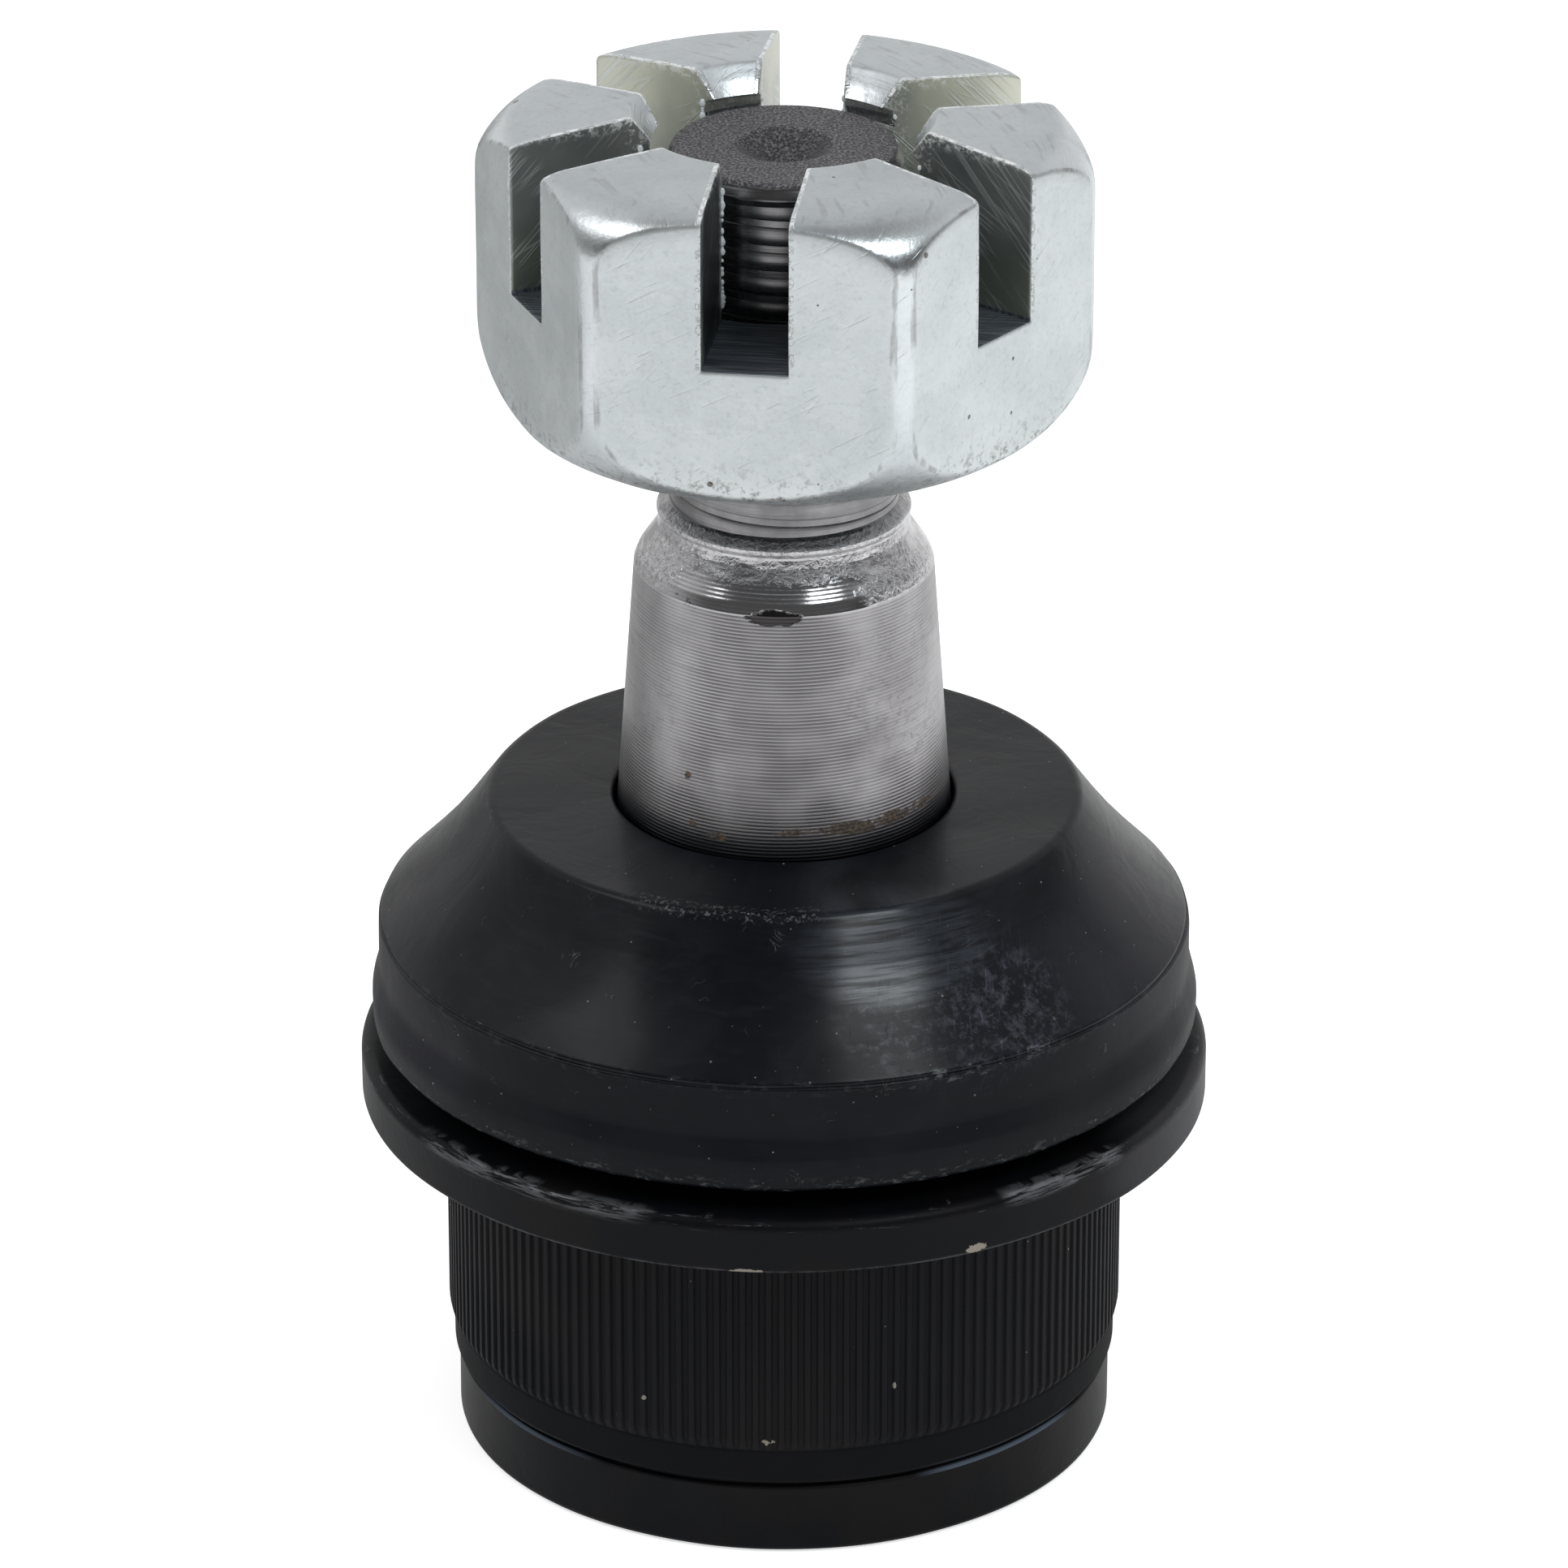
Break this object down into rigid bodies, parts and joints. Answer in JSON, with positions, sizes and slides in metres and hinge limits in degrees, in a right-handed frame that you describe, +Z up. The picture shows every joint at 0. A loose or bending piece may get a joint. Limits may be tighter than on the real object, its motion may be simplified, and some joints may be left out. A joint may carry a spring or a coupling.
{
  "type": "suspension ball joint",
  "caption": "Press-in suspension ball joint: black housing with a knurled barrel and flange, rubber dust boot, tapered ball stud and slotted castle nut.",
  "frame": {"origin": "centre of the housing's bottom rim, which the joint stands on", "axes": "+Z up the stud's axis towards its threaded end; +Y and -Y run through the middles of two opposite flats and slots of the nut"},
  "size_m": [0.0658, 0.0658, 0.1083],
  "materials": {
    "black_coat": "satin",
    "sintered_iron": "matte",
    "spring_steel": "satin",
    "plated_plate": "satin",
    "brass": "satin",
    "ring_steel": "satin",
    "boot_rubber": "satin",
    "stud_steel": "satin",
    "zinc": "satin"
  },
  "bodies": {
    "housing": {"housing": "black_coat", "upper_bearing": "sintered_iron", "preload_spring": "spring_steel", "cover_plate": "plated_plate", "grease_fitting": "brass", "fitting_check_spring": "spring_steel", "boot_base_ring": "ring_steel", "dust_boot": "boot_rubber"},
    "check_ball": {"fitting_check_ball": "spring_steel"},
    "lower_bearing": {"lower_bearing": "sintered_iron"},
    "boot_lip": {"boot_lip_ring": "spring_steel"},
    "stud": {"ball_stud": "stud_steel"},
    "nut": {"castle_nut": "zinc"}
  },
  "joints": [
    {"name": "swing_direction", "type": "hinge", "parent": "housing", "child": "lower_bearing", "pos_m": [0, 0, 0.023], "axis": [0, 0, 1], "continuous": true},
    {"name": "stud_swing", "type": "hinge", "parent": "lower_bearing", "child": "boot_lip", "pos_m": [0, 0, 0.023], "axis": [1, 0, 0], "range_deg": [-18, 18], "deforming": ["dust_boot"]},
    {"name": "stud_spin", "type": "hinge", "parent": "boot_lip", "child": "stud", "pos_m": [0, 0, 0.023], "axis": [0, 0, 1], "continuous": true},
    {"name": "nut_travel", "type": "slide", "parent": "stud", "child": "nut", "axis": [0, 0, 1], "range_m": [-0.0073, 0.0215]},
    {"name": "check_ball_lift", "type": "slide", "parent": "housing", "child": "check_ball", "axis": [0, 0, 1], "range_m": [0, 0.0009], "stiffness_N_per_m": 40, "springref_m": -0.0005, "deforming": ["fitting_check_spring"]}
  ]
}
